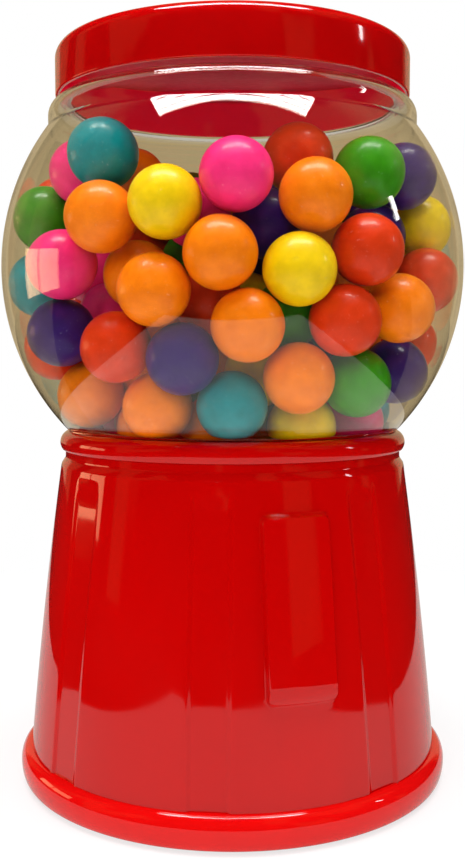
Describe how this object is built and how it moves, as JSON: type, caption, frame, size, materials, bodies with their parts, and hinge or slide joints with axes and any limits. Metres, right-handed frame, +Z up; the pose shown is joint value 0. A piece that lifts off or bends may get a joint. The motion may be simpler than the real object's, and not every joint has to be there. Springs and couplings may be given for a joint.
{
  "type": "gumball machine",
  "caption": "Red gumball machine: a clear globe of gumballs with a screw lid on a fluted cone base, with a coin knob and a flap on the far side.",
  "frame": {"origin": "centre of the machine at the ground, under the rubber foot", "axes": "+Z up; the raised plain panel faces -Y; the coin mechanism, the knob and the chute are at +Y"},
  "size_m": [0.1766, 0.1951, 0.2801],
  "materials": {
    "red_plastic": "glossy injection-moulded",
    "clear_plastic": "clear moulded plastic",
    "seal_plastic": "soft sheet",
    "white_plastic": "satin moulded",
    "black_plastic": "satin moulded",
    "black_rubber": "matt",
    "zinc_steel": "zinc plated",
    "plate_chrome": "polished",
    "brass": "machined",
    "gum_red": "candy shell",
    "gum_orange": "candy shell",
    "gum_yellow": "candy shell",
    "gum_green": "candy shell",
    "gum_teal": "candy shell",
    "gum_purple": "candy shell",
    "gum_pink": "candy shell"
  },
  "bodies": {
    "base": {"globe": "clear_plastic", "base_shell": "red_plastic", "foot_ring": "red_plastic", "bottom_plate": "black_plastic", "base_screws": "zinc_steel", "rubber_foot": "black_rubber", "hopper": "white_plastic", "hopper_screws": "zinc_steel", "wheel_bush": "brass", "centre_bolt": "zinc_steel", "drop_guard": "zinc_steel", "guard_nut": "zinc_steel", "front_plate": "plate_chrome", "plate_screws": "zinc_steel", "mech_bracket": "zinc_steel", "bracket_screws": "zinc_steel", "click_spring": "zinc_steel", "spring_screw": "zinc_steel", "chute": "white_plastic", "chute_screws": "zinc_steel", "flap_pin": "zinc_steel", "gumballs_red": "gum_red", "gumballs_orange": "gum_orange", "gumballs_yellow": "gum_yellow", "gumballs_green": "gum_green", "gumballs_teal": "gum_teal", "gumballs_purple": "gum_purple", "gumballs_pink": "gum_pink"},
    "lid": {"lid": "red_plastic"},
    "lid_seal": {"lid_seal": "seal_plastic"},
    "wheel": {"dispensing_wheel": "white_plastic", "pocket_gumballs": "gum_orange"},
    "knob": {"knob": "plate_chrome", "knob_screw": "zinc_steel", "knob_shaft": "zinc_steel", "coin_carrier": "brass", "ratchet_wheel": "brass", "drive_pinion": "brass", "shaft_clip": "zinc_steel"},
    "flap": {"chute_flap": "plate_chrome"},
    "coin_plug": {"coin_plug": "black_plastic"}
  },
  "joints": [
    {"name": "lid_lift", "type": "slide", "parent": "base", "child": "lid_seal", "axis": [0, 0, 1], "range_m": [0, 0.0015]},
    {"name": "lid_turn", "type": "hinge", "parent": "lid_seal", "child": "lid", "pos_m": [0, 0, 0.265], "axis": [0, 0, 1], "range_deg": [0, 45]},
    {"name": "wheel_turn", "type": "hinge", "parent": "base", "child": "wheel", "pos_m": [0, 0, 0.11], "axis": [0, 0, 1], "continuous": true},
    {"name": "knob_turn", "type": "hinge", "parent": "base", "child": "knob", "pos_m": [0, 0.0925, 0.0913], "axis": [0, 1, 0], "continuous": true},
    {"name": "flap_open", "type": "hinge", "parent": "base", "child": "flap", "pos_m": [0, 0.087, 0.0622], "axis": [1, 0, 0], "range_deg": [0, 75]},
    {"name": "plug_twist", "type": "hinge", "parent": "base", "child": "coin_plug", "pos_m": [0, 0, 0.003], "axis": [0, 0, 1], "range_deg": [0, 60]}
  ],
  "couplings": [
    {"joint": "lid_lift", "follows": "lid_turn", "m_per_rad": 0.0019099},
    {"joint": "knob_turn", "follows": "wheel_turn", "ratio": -6}
  ]
}
